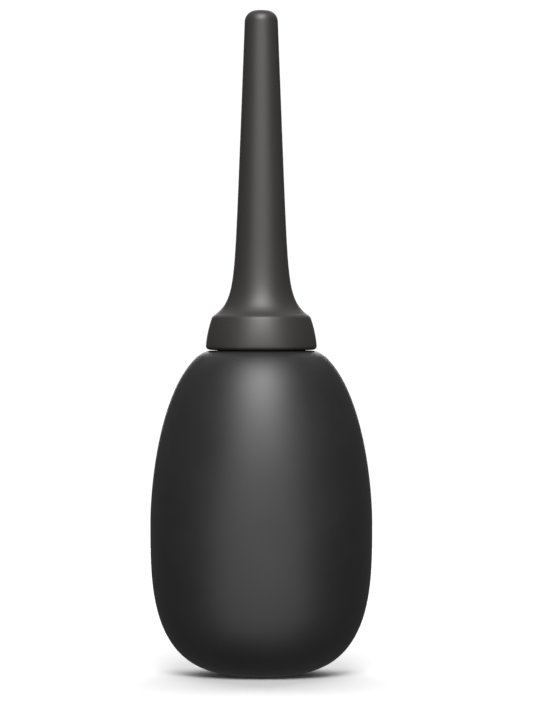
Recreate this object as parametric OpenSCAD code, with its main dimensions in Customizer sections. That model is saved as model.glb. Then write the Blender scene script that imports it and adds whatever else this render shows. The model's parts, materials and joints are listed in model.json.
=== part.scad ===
// Squeeze-bulb dust blower: a hollow rubber bulb with a one-way air intake in its foot,
// a threaded neck with a one-way outlet valve, and a long tapered nozzle that screws onto it.
// Millimetres. +Z is up, along the nozzle, and the origin is the middle of the foot's flat face.

/* [Bulb] */
// Largest diameter of the bulb
bulb_d = 64; // [52:1:80]
// Height of the bulb, from the foot to the land under the nozzle
bulb_h = 93.5; // [78:0.5:112]
// Height at which the bulb is widest
widest_z = 44; // [38:1:50]
// Width of the flat ring that the bulb stands on
foot_ring_w = 1.9; // [1.5:0.1:5]
// Wall of the rubber
wall = 2.6; // [1.8:0.1:3.2]
// Thickness of the rubber at the foot
base_t = 4; // [3.4:0.1:5]
// Thickness of the rubber lip round the neck hole
lip_t = 3.7; // [2.8:0.1:4.6]

/* [Neck] */
// Diameter of the neck hole in the rubber
neck_hole_d = 19; // [17.5:0.5:20]
// Outside diameter of the neck's thread
thread_d = 23.4; // [22.5:0.1:25]
// Rise of the thread in one turn
thread_pitch = 3; // [2.6:0.1:3.4]
// Turns of thread on the neck, which is how far the nozzle turns before it comes off
thread_turns = 1.1; // [0.8:0.1:1.3]
// Length of the stem that hangs inside the bulb, below the land
stem_len = 13.5; // [12.5:0.5:18]
// Diameter of the air way through the neck
neck_bore_d = 12; // [11.6:0.1:13]

/* [Nozzle] */
// Length of the nozzle, from its rim to its tip
nozzle_len = 98; // [70:1:130]
// Diameter of the nozzle's cone at the tip
tip_d = 9.3; // [8:0.1:12]
// Diameter of the nozzle's cone where it meets the skirt
cone_d = 16; // [15:0.1:19]
// Wall of the skirt at its rim
rim_wall = 2.8; // [2:0.1:4]
// Wall of the skirt at its upper edge
shoulder_wall = 2.15; // [1.6:0.05:3]
// Height of the skirt
skirt_h = 9.7; // [9.7:0.1:12]
// Diameter of the outlet hole
outlet_d = 2; // [1.2:0.1:3]
// Length of the outlet hole
outlet_len = 5; // [3:0.5:10]

/* [Valves] */
// Diameter of the outlet valve's ball
ball_d = 8.4; // [7.8:0.1:8.8]
// Distance that the ball lifts
ball_lift = 2; // [1:0.1:2.5]
// Diameter of the intake valve's poppet
poppet_d = 10.8; // [9:0.1:13]
// Distance that the poppet lifts
poppet_lift = 1.2; // [0.6:0.1:1.4]

/* [Hidden] */
$fn = 96;

// The egg: radius = R * (1 - t^rise)^(1/fullness), with t the share of the way from the widest height to the end.
top_rise = 1.75;
top_fullness = 3.35;
foot_rise = 3.13;
foot_fullness = 3.05;
egg_steps = 40;
bulb_r = bulb_d / 2;

// Gaps between pieces that move past each other, and the slack of a seated piece.
thread_gap = 0.25;
rim_gap = 0.2;
relief_gap = 0.6;
relief_rise = 0.2;
guide_gap = 0.25;
slack = 0.1;
seat_gap = 0.05;
// How far a rib or a thread is sunk into the wall that carries it.
bury = 0.3;

// Intake valve, from the grille up. Its plug grips the foot between two flanges.
poppet_r = poppet_d / 2;
poppet_t = 0.8;
poppet_crown = 0.3;
poppet_edge = 0.4;
poppet_stem_r = 0.85;
bead_r = 1.5;
bead_t = 0.8;
bead_edge = 0.4;
cup_r = poppet_r + 0.5;
cup_wall = 0.9;
barrel_r = cup_r + cup_wall;
recess = 0.8;
lower_flange_t = 0.8;
lower_flange_r = barrel_r + 0.7;
upper_flange_t = 1.2;
grille_t = 1;
filter_t = 0.8;
// The web is high enough for the poppet's bead to drop to poppet_lift and still clear the filter.
bead_room = 0.55;
web_z = recess + grille_t + filter_t + bead_room + seat_gap + bead_t + poppet_lift;
upper_flange_r = barrel_r + 1.8;
chamber_r = barrel_r - 1.2;
web_t = 1.2;
seat_h = 0.4;
seat_w = 0.6;
seat_r = poppet_r - slack;
cup_rise = 2.2;
guide_hole_r = poppet_stem_r + slack;
vents = 6;
vent_r = 0.85;
vent_edge = 0.6;
vent_ring_r = seat_r - seat_w - vent_r - vent_edge;
poppet_z = web_z + web_t + seat_h + seat_gap;
bead_z = web_z - poppet_lift - bead_t - seat_gap;
slot_rings = 2;
slots = 3;
slot_w = 0.8;
slot_rim = 1.4;
slot_step = (chamber_r - slot_w - slot_rim) / slot_rings;
slot_angle = 90;

// Neck. The rubber lip is held between the barb below it and the flange on the land.
land_z = bulb_h;
neck_hole_r = neck_hole_d / 2;
thread_r = thread_d / 2;
thread_depth = 1;
thread_root_w = 1.4;
thread_crest_w = 0.7;
core_r = thread_r - thread_depth;
flange_t = 1.4;
flange_r = thread_r + 0.9;
barb_t = 2.2;
barb_r = neck_hole_r + 3;
barb_edge = 1;
neck_edge = 0.3;
stem_r = neck_hole_r - 1;
stem_z = land_z - stem_len;
bore_r = neck_bore_d / 2;
// The nozzle's thread starts just above the flange, and the neck's runs half a turn above it.
relief_z = land_z + flange_t + relief_rise;
nozzle_thread_z = relief_z + slack + thread_root_w / 2;
nozzle_thread_turns = 1;
neck_thread_z = nozzle_thread_z + thread_pitch / 2;
neck_top = neck_thread_z + thread_pitch * thread_turns + thread_root_w / 2 + neck_edge;

// Outlet valve. The ball rests in a 45 degree cone whose point lies port_r below the cone's lower edge.
ball_r = ball_d / 2;
// The ball touches the cone this far out from the port's edge.
seat_land = 0.37;
port_r = ball_r / sqrt(2) - seat_land;
port_t = 2;
cone_z = stem_z + port_t;
ball_z = cone_z - port_r + (ball_r + seat_gap) * sqrt(2);
guides = 4;
guide_w = 1;
guide_in_r = ball_r + guide_gap;
guide_z = cone_z + guide_in_r - port_r - bury;
cage_t = 1.8;
cage_drop = 2.3;
cage_z = neck_top - cage_drop - cage_t;
cage_spokes = 3;
cage_spoke_w = 1.6;
cage_rim_w = 1.3;
// The post under the cage centres the spring, and stops the ball after ball_lift.
post_r = 2.2;
post_z = ball_z + ball_r + ball_lift;
wire_r = 0.25;
wire_sides = 6;
coil_r = post_r + wire_r + slack;
coils = 5;
spring_low = ball_z + sqrt(pow(ball_r + wire_r + slack, 2) - pow(coil_r, 2));
spring_high = cage_z - wire_r;
// Rings of points in one turn of a helix.
ring_steps = 20;

// Nozzle
rim_z = land_z + rim_gap;
tip_z = rim_z + nozzle_len;
shoulder_z = rim_z + skirt_h;
skirt_in_r = thread_r + thread_gap;
relief_r = flange_r + relief_gap;
rim_r = relief_r + rim_wall;
shoulder_r = skirt_in_r + shoulder_wall;
rim_round = 1.2;
rim_flat = 1.8;
skirt_bulge = 0.3;
shoulder_round = 0.6;
flare_len = 15;
flare_power = 4;
flare_steps = 36;
gasket_t = 1;
gasket_in_r = bore_r + 0.8;
gasket_out_r = core_r - neck_edge;
ceiling_z = neck_top + gasket_t;
throat_r = bore_r - 0.8;
nose_r = outlet_d / 2 + 1.4;
nose_z = tip_z - outlet_len;
lip_round = 0.3;
// The tip is rounded from its side to the edge of the outlet.
tip_round = tip_d / 2 - outlet_d / 2 - lip_round;

// Bulb. The land is as wide as the nozzle's rim, and the floor inside as wide as the plug's upper flange.
land_r = rim_r + 0.3;
land_edge = 1.6;
foot_r = lower_flange_r + slack + foot_ring_w;
floor_r = upper_flange_r + 0.2;
inner_r = bulb_r - wall;
foot_reach = egg_reach(foot_r / bulb_r, widest_z, foot_rise, foot_fullness);
top_reach = egg_reach(land_r / bulb_r, bulb_h - widest_z, top_rise, top_fullness);
floor_reach = egg_reach(floor_r / inner_r, widest_z - base_t, foot_rise, foot_fullness);

// The reach of an egg's end that has narrowed to the share narrow of its width after the height h.
function egg_reach(narrow, h, rise, fullness) = h / pow(1 - pow(narrow, fullness), 1 / rise);

// Half-width of the egg at height z.
function egg(r, reach, rise, fullness, z) =
    r * pow(max(0, 1 - pow(min(1, abs(z - widest_z) / reach), rise)), 1 / fullness);

function egg_points(r, low, high, low_reach, top_reach) = [
    for (i = [0 : egg_steps])
        // steps crowd towards both ends, where the egg curves most
        let (z = (low + high) / 2 - (high - low) / 2 * cos(180 * i / egg_steps))
        [z < widest_z ? egg(r, low_reach, foot_rise, foot_fullness, z)
                      : egg(r, top_reach, top_rise, top_fullness, z), z]
];

// A curve from a to b that leaves and arrives along the sides of the corner between them.
function bend(a, corner, b, steps = 6) = [
    for (i = [0 : steps])
        let (u = i / steps)
        a * pow(1 - u, 2) + corner * 2 * u * (1 - u) + b * pow(u, 2)
];

function arc(centre, r, from, to, steps = 12) = [
    for (i = [0 : steps])
        let (a = from + (to - from) * i / steps)
        centre + r * [cos(a), sin(a)]
];

module revolve(points) {
    rotate_extrude() polygon(points);
}

// A closed tube or ridge swept along a helix. section holds [out from the axis, up] points, anticlockwise.
module helix(section, pitch, turns, z) {
    rings = ceil(turns * ring_steps);
    n = len(section);
    points = [
        for (i = [0 : rings], p = section)
            let (u = i / rings, a = 360 * turns * u)
            [p.x * cos(a), p.x * sin(a), z + p.y + pitch * turns * u]
    ];
    sides = [
        for (i = [0 : rings - 1], j = [0 : n - 1])
            let (a = i * n + j, b = i * n + (j + 1) % n)
            each [[a, b + n, a + n], [a, b, b + n]]
    ];
    polyhedron(points, concat(sides, [[for (j = [n - 1 : -1 : 0]) j]],
                              [[for (j = [0 : n - 1]) rings * n + j]]));
}

// The hollow rubber bulb: foot with the intake's hole, egg-shaped wall, and the lip round the neck hole.
module bulb_shell() {
    inner_top = land_z - lip_t;
    edge_z = land_z - land_edge;
    edge_r = egg(bulb_r, top_reach, top_rise, top_fullness, edge_z);
    color("#2f2f30")
    difference() {
        revolve(concat([[0, 0]],
                       egg_points(bulb_r, 0, edge_z, foot_reach, top_reach),
                       bend([edge_r, edge_z], [land_r, land_z], [land_r - land_edge, land_z]),
                       [[0, land_z]]));
        revolve(concat([[0, base_t]],
                       egg_points(inner_r, base_t, inner_top, floor_reach, top_reach - wall),
                       [[0, inner_top]]));
        translate([0, 0, -1]) cylinder(r = barrel_r, h = base_t + 2);
        translate([0, 0, -1]) cylinder(r = lower_flange_r + slack, h = 1 + recess + lower_flange_t);
        translate([0, 0, inner_top - 1]) cylinder(r = neck_hole_r, h = lip_t + 2);
    }
}

// The intake's rigid plug: it grips the rubber between two flanges and carries the valve seat.
module intake_valve_body() {
    grip_z = recess + lower_flange_t;
    color("#3b3b3c")
    difference() {
        union() {
            translate([0, 0, recess]) cylinder(r = lower_flange_r, h = lower_flange_t);
            translate([0, 0, grip_z]) cylinder(r = barrel_r, h = web_z + web_t + seat_h + cup_rise - grip_z);
            translate([0, 0, base_t]) cylinder(r = upper_flange_r, h = upper_flange_t);
        }
        translate([0, 0, recess - 1]) cylinder(r = chamber_r, h = web_z - recess + 1);
        translate([0, 0, web_z - 1]) cylinder(r = guide_hole_r, h = web_t + 2);
        for (i = [0 : vents - 1])
            rotate(360 * i / vents) translate([vent_ring_r, 0, web_z - 1]) cylinder(r = vent_r, h = web_t + 2);
        difference() {
            translate([0, 0, web_z + web_t]) cylinder(r = cup_r, h = seat_h + cup_rise + 1);
            translate([0, 0, web_z + web_t - 1]) difference() {
                cylinder(r = seat_r, h = 1 + seat_h);
                translate([0, 0, -1]) cylinder(r = seat_r - seat_w, h = 3 + seat_h);
            }
        }
    }
}

// The soft mushroom that covers the seat. The bead on its stem stops it after poppet_lift.
module intake_poppet() {
    bead_top = bead_z + bead_t;
    cap_top = poppet_z + poppet_t;
    color("#c9c4b8")
    revolve(concat([[0, bead_z], [bead_r - bead_edge, bead_z]],
                   bend([bead_r, bead_z + bead_edge], [bead_r, bead_top], [bead_r - bead_edge, bead_top]),
                   [[poppet_stem_r, bead_top], [poppet_stem_r, poppet_z], [poppet_r, poppet_z]],
                   bend([poppet_r, cap_top - poppet_edge], [poppet_r, cap_top],
                        [poppet_r - 2 * poppet_edge, cap_top]),
                   [[0, cap_top + poppet_crown]]));
}

module intake_filter() {
    color("#d8d5cc")
    translate([0, 0, recess + grille_t]) cylinder(r = chamber_r, h = filter_t);
}

// The slotted cap that holds the filter. Each slot is a stretch of a ring between two spokes.
module intake_grille() {
    color("#3b3b3c")
    difference() {
        translate([0, 0, recess]) cylinder(r = chamber_r, h = grille_t);
        for (ring = [1 : slot_rings], i = [0 : slots - 1])
            translate([0, 0, recess - 1])
            rotate((360 * i - slot_angle) / slots)
            rotate_extrude(angle = slot_angle) translate([ring * slot_step, 0]) square([slot_w, grille_t + 2]);
    }
}

// The rigid neck: it grips the rubber lip between a barb and a flange, carries the nozzle's thread outside
// and the outlet valve's seat inside.
module threaded_neck() {
    barb_z = land_z - lip_t;
    color("#343435")
    union() {
        revolve([[port_r, stem_z], [stem_r, stem_z], [stem_r, barb_z - barb_t], [barb_r - barb_edge, barb_z - barb_t],
                 [barb_r, barb_z - barb_edge], [barb_r, barb_z], [neck_hole_r, barb_z], [neck_hole_r, land_z],
                 [flange_r, land_z], [flange_r, land_z + flange_t], [core_r, land_z + flange_t],
                 [core_r, neck_top - neck_edge], [core_r - neck_edge, neck_top], [bore_r, neck_top],
                 [bore_r, cone_z + bore_r - port_r], [port_r, cone_z]]);
        for (i = [0 : guides - 1])
            rotate(360 * (i + 0.5) / guides)
            translate([guide_in_r, -guide_w / 2, guide_z])
            cube([bore_r - guide_in_r + bury, guide_w, cage_z - guide_z]);
        helix([[core_r - bury, -thread_root_w / 2], [thread_r, -thread_crest_w / 2],
               [thread_r, thread_crest_w / 2], [core_r - bury, thread_root_w / 2]],
              thread_pitch, thread_turns, neck_thread_z);
    }
}

module outlet_valve_ball() {
    color("#6b2a24")
    translate([0, 0, ball_z]) sphere(r = ball_r);
}

module outlet_valve_spring() {
    rise = spring_high - spring_low;
    color("#b9bcc0")
    helix([for (i = [0 : wire_sides - 1])
               let (a = 360 * i / wire_sides)
               [coil_r + wire_r * cos(a), wire_r * sin(a)]],
          rise / coils, coils, spring_low);
}

// The spider pressed into the top of the bore.
module outlet_valve_cage() {
    hole_r = bore_r - cage_rim_w;
    color("#3b3b3c")
    union() {
        difference() {
            translate([0, 0, cage_z]) cylinder(r = bore_r, h = cage_t);
            translate([0, 0, cage_z - 1]) cylinder(r = hole_r, h = cage_t + 2);
        }
        translate([0, 0, post_z]) cylinder(r = post_r, h = cage_z + cage_t - post_z);
        for (i = [0 : cage_spokes - 1])
            rotate(360 * i / cage_spokes)
            translate([0, -cage_spoke_w / 2, cage_z])
            cube([hole_r + bury, cage_spoke_w, cage_t]);
    }
}

module nozzle_gasket() {
    color("#202021")
    translate([0, 0, neck_top])
    difference() {
        cylinder(r = gasket_out_r, h = gasket_t);
        translate([0, 0, -1]) cylinder(r = gasket_in_r, h = gasket_t + 2);
    }
}

function cone_at(z) = cone_d / 2 + (tip_d - cone_d) / 2 * (z - shoulder_z) / (tip_z - shoulder_z);

// The cone, with a flare that dies away over flare_len above the shoulder.
function nozzle_r(z) =
    cone_at(z) + (shoulder_r - cone_d / 2) * pow(flare_len / (z - shoulder_z + flare_len), flare_power);

// The skirt's side, with u from 0 at the rim to 1 at the shoulder.
function skirt_r(u) = rim_r + (shoulder_r - rim_r) * u + 4 * skirt_bulge * u * (1 - u);

module nozzle() {
    side_z = rim_z + rim_round;
    side_h = skirt_h - rim_round;
    flare_z = shoulder_z + shoulder_round;
    tip_low = tip_z - tip_round;
    outlet_r = outlet_d / 2;
    color("#3a3938")
    union() {
        revolve(concat(
            [[relief_r, rim_z]],
            bend([rim_r - rim_flat, rim_z], [rim_r, rim_z], [rim_r, side_z]),
            [for (u = [0.12 : 0.12 : 0.9]) [skirt_r(u), side_z + side_h * u]],
            bend([skirt_r(0.94), side_z + side_h * 0.94], [shoulder_r, shoulder_z], [nozzle_r(flare_z), flare_z]),
            [for (i = [1 : flare_steps])
                let (z = flare_z + (tip_low - flare_z) * pow(i / flare_steps, 2))
                [nozzle_r(z), z]],
            arc([cone_at(tip_low) - tip_round, tip_low], tip_round, 7, 90),
            arc([outlet_r + lip_round, tip_z - lip_round], lip_round, 90, 180, 4),
            [[outlet_r, nose_z], [nose_r, nose_z], [throat_r, ceiling_z],
             [gasket_out_r + slack, ceiling_z], [gasket_out_r + slack, neck_top],
             [skirt_in_r, neck_top], [skirt_in_r, relief_z], [relief_r, relief_z]]));
        helix([[core_r + thread_gap, -thread_crest_w / 2], [skirt_in_r + bury, -thread_root_w / 2],
               [skirt_in_r + bury, thread_root_w / 2], [core_r + thread_gap, thread_crest_w / 2]],
              thread_pitch, nozzle_thread_turns, nozzle_thread_z);
    }
}

bulb_shell();
intake_valve_body();
intake_poppet();
intake_filter();
intake_grille();
threaded_neck();
outlet_valve_ball();
outlet_valve_spring();
outlet_valve_cage();
nozzle_gasket();
nozzle();
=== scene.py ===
import json
import math

import bmesh
import bpy
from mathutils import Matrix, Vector, noise


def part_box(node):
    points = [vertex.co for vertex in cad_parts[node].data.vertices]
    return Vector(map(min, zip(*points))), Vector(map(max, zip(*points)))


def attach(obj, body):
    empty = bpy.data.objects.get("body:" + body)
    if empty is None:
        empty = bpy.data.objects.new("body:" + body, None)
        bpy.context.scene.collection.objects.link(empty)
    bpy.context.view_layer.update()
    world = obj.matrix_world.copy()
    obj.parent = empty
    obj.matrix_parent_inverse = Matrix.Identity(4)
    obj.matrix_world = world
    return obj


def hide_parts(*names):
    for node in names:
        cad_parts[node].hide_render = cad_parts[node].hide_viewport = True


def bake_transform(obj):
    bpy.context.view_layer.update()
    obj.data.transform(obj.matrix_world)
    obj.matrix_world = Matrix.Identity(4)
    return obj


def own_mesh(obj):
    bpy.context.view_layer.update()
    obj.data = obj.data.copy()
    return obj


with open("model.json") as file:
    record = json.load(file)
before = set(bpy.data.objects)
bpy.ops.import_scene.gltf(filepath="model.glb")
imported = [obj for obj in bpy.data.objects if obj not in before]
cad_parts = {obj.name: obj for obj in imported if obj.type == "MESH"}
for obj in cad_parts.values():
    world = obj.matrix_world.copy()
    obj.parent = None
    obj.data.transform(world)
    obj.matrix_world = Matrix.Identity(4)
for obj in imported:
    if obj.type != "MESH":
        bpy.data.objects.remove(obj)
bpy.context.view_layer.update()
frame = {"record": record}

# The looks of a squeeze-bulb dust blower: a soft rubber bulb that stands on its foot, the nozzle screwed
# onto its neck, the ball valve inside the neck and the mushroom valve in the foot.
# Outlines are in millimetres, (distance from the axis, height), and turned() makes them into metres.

MM = 0.001


# ---- Sizes, from the frame where it holds them

def span(node):
    """A node's lowest height, highest height and outer radius, in millimetres."""
    low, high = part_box(node)
    return low.z / MM, high.z / MM, high.x / MM


land_z, bulb_r = span("bulb_shell")[1:]
rim_z, tip_z, rim_r = span("nozzle")
stem_z, neck_top, flange_r = span("threaded_neck")
gasket_z, gasket_top, gasket_r = span("nozzle_gasket")
ball_low, ball_high, ball_r = span("outlet_valve_ball")
spring_z, spring_top, spring_r = span("outlet_valve_spring")
post_z, cage_top, bore_r = span("outlet_valve_cage")
plug_z, cup_top, upper_flange_r = span("intake_valve_body")
bead_z, cap_top, poppet_r = span("intake_poppet")
filter_z, filter_top, chamber_r = span("intake_filter")
grille_z, grille_top, grille_r = span("intake_grille")
screw = frame["record"]["behaviour"]["couplings"][0]
THREAD_PITCH = screw["ratio"] * 2 * math.pi / MM

# The lengths below are in millimetres too, unless a comment says otherwise. _R is a radius, _Z a height
# above the floor, _H a part's own height, _T a thickness and _W a width.

# Closer than SAME is the same place. WELD, in metres, is as close as doubles lie.
SAME = 0.01
WELD = 1e-7
# An edge that bends by more degrees than this is shown sharp.
SHARP = 35
# A short straight run, so that rounding a corner leaves the curve beside it alone.
RUN = 0.1
# How far a rib or spoke is sunk into the wall that carries it.
BURY = 0.3
# Steps round the two large pieces.
FINE_STEPS = 224

# The egg of the bulb: radius = R * (1 - t^rise)^(1/fullness), with t the share of the way to the end.
WIDEST_Z = 44
TOP_RISE = 1.75
TOP_FULLNESS = 3.35
FOOT_RISE = 3.13
FOOT_FULLNESS = 3.05
WALL = 2.6
BASE = 4
LIP = 3.7
FOOT_R = 9.5
RECESS_R = 7.6
RECESS = 1.6
BARREL_R = 6.8
NECK_HOLE_R = 9.5
LAND_R = rim_r + 0.3
LAND_EDGE = 1.6
# How far the flat floor inside reaches past the plug's flange.
FLOOR_RIM = 0.2
# A point this close to the outline is on the outside, and carries the parting line.
BULB_SKIN = 0.5

# The nozzle: a straight cone with a flare above the skirt.
SKIRT_H = 9.7
SKIRT_ROUND = 1.2
SKIRT_BULGE = 1.2
SKIRT_STEPS = 16
RIM_CURVE = 1.8
SHOULDER_R = 14.1
SHOULDER_ROUND = 0.6
# The share of the skirt's height at which the shoulder's curve starts.
SHOULDER_START = 0.94
CONE_R = 8
TIP_R = 4.65
FLARE_LEN = 15
FLARE_POWER = 4
CONE_STEPS = 70
# Above 1, the cone's points crowd towards its flare.
CONE_CROWDING = 1.8
TIP_ROUND = 3.35
OUTLET_R = 1
LIP_ROUND = 0.3
NOSE_R = 2.4
NOSE_LEN = 5
THROAT_R = 5.2
GASKET_SLACK = 0.1
# Points this close to the cone's outline, or this far out on the skirt, carry the parting line.
NOZZLE_SKIN = 0.3
SKIRT_SKIN_R = 13.6
shoulder_z = rim_z + SKIRT_H

# The screw joint, seen from the neck.
THREAD_R = 11.7
CORE_R = 10.7
SKIRT_IN_R = 11.95
RELIEF_R = 13.2
FLANGE_T = 1.4
THREAD_TURNS = 1.1
NOZZLE_THREAD_TURNS = 1.0
NOZZLE_THREAD_T = 1.0
# A thread fades out over this share of a turn. The points that carry it are THREAD_STEP apart, from
# THREAD_FOOT above the flange, or in the nozzle from the relief, to THREAD_STOP under the neck's top. Those
# less than THREAD_MARGIN past either end still count.
THREAD_FADE = 0.06
THREAD_STOP = 0.5
THREAD_FOOT = 0.3
THREAD_MARGIN = 0.05
THREAD_STEP = 0.1
NECK_THREAD_Z = land_z + 3.9
BARB_T = 2.2
BARB_R = 12.5
NOZZLE_THREAD_Z = NECK_THREAD_Z - THREAD_PITCH / 2
RELIEF_Z = land_z + 1.6

# The outlet valve, in the neck's bore.
PORT_R = 2.6
CONE_Z = stem_z + 2
GUIDE_IN_R = 4.45
GUIDE_W = 1
CAGE_Z = cage_top - 1.8
CAGE_RIM_W = 1.3
CAGE_SPOKE_W = 1.6
SPOKE_DROP = 0.1
POST_R = 2.2
WIRE_R = 0.25
GASKET_IN_R = 6.8
GASKET_HOLLOW = 0.06
# The ball's belt, with its spread in degrees.
BELT_T = 0.04
BELT_SPREAD = 1.4
BALL_STEPS = 40

# The intake valve, in the foot.
WEB_Z = 5.2
WEB_T = 1.2
SEAT_H = 0.4
SEAT_W = 0.6
SEAT_R = 5.3
SEAT_GAP = 0.05
CUP_R = 5.9
LOWER_FLANGE_R = 7.5
UPPER_FLANGE_T = 1.2
GUIDE_HOLE_R = 0.95
VENT_R = 0.85
VENT_RING_R = 3.25
POPPET_STEM_R = 0.85
BEAD_R = 1.5
BEAD_T = 0.8
SLOT_W = 0.8
SLOT_STEP = 1.7
# The felt: how far its bare disc stays inside the room it has, the step of its mesh, the size of its
# tufts and fibres, and how far they stand out.
FELT_INSET = 0.06
FELT_STEP = 0.16
TUFT = 0.35
FIBRE = 0.12
FUZZ = 0.05


# ---- Small helpers

def linear(hex_colour):
    """An sRGB hex colour as linear red, green, blue and alpha."""
    parts = [int(hex_colour[i:i + 2], 16) / 255 for i in (1, 3, 5)]
    return [c / 12.92 if c <= 0.04045 else ((c + 0.055) / 1.055) ** 2.4 for c in parts] + [1]


def add(tree, kind, settings=None, **inputs):
    """Adds one node to a tree. settings are its own properties. Each input is a socket's name with _ for a
    space, or _0, _1 for its place, and gets a value, or another node or socket to link from."""
    made = tree.nodes.new(kind)
    for name, value in (settings or {}).items():
        setattr(made, name, value)
    for name, value in inputs.items():
        socket = made.inputs[int(name[1:]) if name[0] == "_" else name.replace("_", " ")]
        if isinstance(value, bpy.types.Node):
            value = value.outputs[0]
        if isinstance(value, bpy.types.NodeSocket):
            tree.links.new(value, socket)
        else:
            socket.default_value = value
    return made


def egg(r, reach, rise, fullness, z):
    """Half-width of an egg at height z."""
    share = min(1, abs(z - WIDEST_Z) / reach)
    return r * max(0, 1 - share ** rise) ** (1 / fullness)


def egg_reach(narrow, height, rise, fullness):
    """The reach of an egg's end that has narrowed to the share narrow of its width after that height."""
    return height / (1 - narrow ** fullness) ** (1 / rise)


def egg_side(r, low, high, low_reach, high_reach, steps):
    """Points up the side of an egg. They crowd towards its ends, where it curves most."""
    points = []
    for i in range(steps + 1):
        z = (low + high) / 2 - (high - low) / 2 * math.cos(math.pi * i / steps)
        if z < WIDEST_Z:
            points.append((egg(r, low_reach, FOOT_RISE, FOOT_FULLNESS, z), z))
        else:
            points.append((egg(r, high_reach, TOP_RISE, TOP_FULLNESS, z), z))
    return points


def bend(a, corner, b, steps=6):
    """A curve from a to b that leaves and arrives along the sides of the corner between them."""
    a, corner, b = Vector(a), Vector(corner), Vector(b)
    curve = []
    for i in range(steps + 1):
        u = i / steps
        curve.append(tuple(a * (1 - u) ** 2 + corner * 2 * u * (1 - u) + b * u * u))
    return curve


def arc(centre, r, start, end, steps=12):
    """Points on a circle, from one angle to another in degrees."""
    angles = [math.radians(start + (end - start) * i / steps) for i in range(steps + 1)]
    return [(centre[0] + r * math.cos(a), centre[1] + r * math.sin(a)) for a in angles]


def rounded(corners, edge=0.15, steps=4):
    """An outline with its corners rounded. A corner is (r, z), or (r, z, its own rounding)."""
    points = []
    last = len(corners) - 1
    for i, corner in enumerate(corners):
        here = Vector(corner[:2])
        cut = corner[2] if len(corner) > 2 else edge
        before = Vector(corners[max(i - 1, 0)][:2]) - here
        after = Vector(corners[min(i + 1, last)][:2]) - here
        cut = min(cut, before.length * 0.45, after.length * 0.45)
        if i in (0, last) or cut < 1e-4:
            points.append(tuple(here))
        else:
            points += bend(here + before.normalized() * cut, here, here + after.normalized() * cut, steps)
    return points


def stretch(a, b, step):
    """Points at even steps between two places, without the ends."""
    a, b = Vector(a), Vector(b)
    count = max(1, round((b - a).length / step))
    return [tuple(a.lerp(b, i / count)) for i in range(1, count)]


# ---- Geometry Nodes trees

def sockets(tree, **inputs):
    """Gives a tree its named inputs and a mesh output, and returns its input and output nodes."""
    for name, kind in inputs.items():
        label = name.replace("_", " ")
        tree.interface.new_socket(name=label, in_out="INPUT", socket_type="NodeSocket" + kind)
    tree.interface.new_socket(name="Mesh", in_out="OUTPUT", socket_type="NodeSocketGeometry")
    return tree.nodes.new("NodeGroupInput"), tree.nodes.new("NodeGroupOutput")


def finish_tree(tree, geometry, source, out):
    """Realize Instances and Set Material at a tree's end."""
    real = add(tree, "GeometryNodeRealizeInstances", Geometry=geometry)
    painted = add(tree, "GeometryNodeSetMaterial", Geometry=real, Material=source.outputs["Material"])
    tree.links.new(painted.outputs[0], out.inputs[0])


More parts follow.
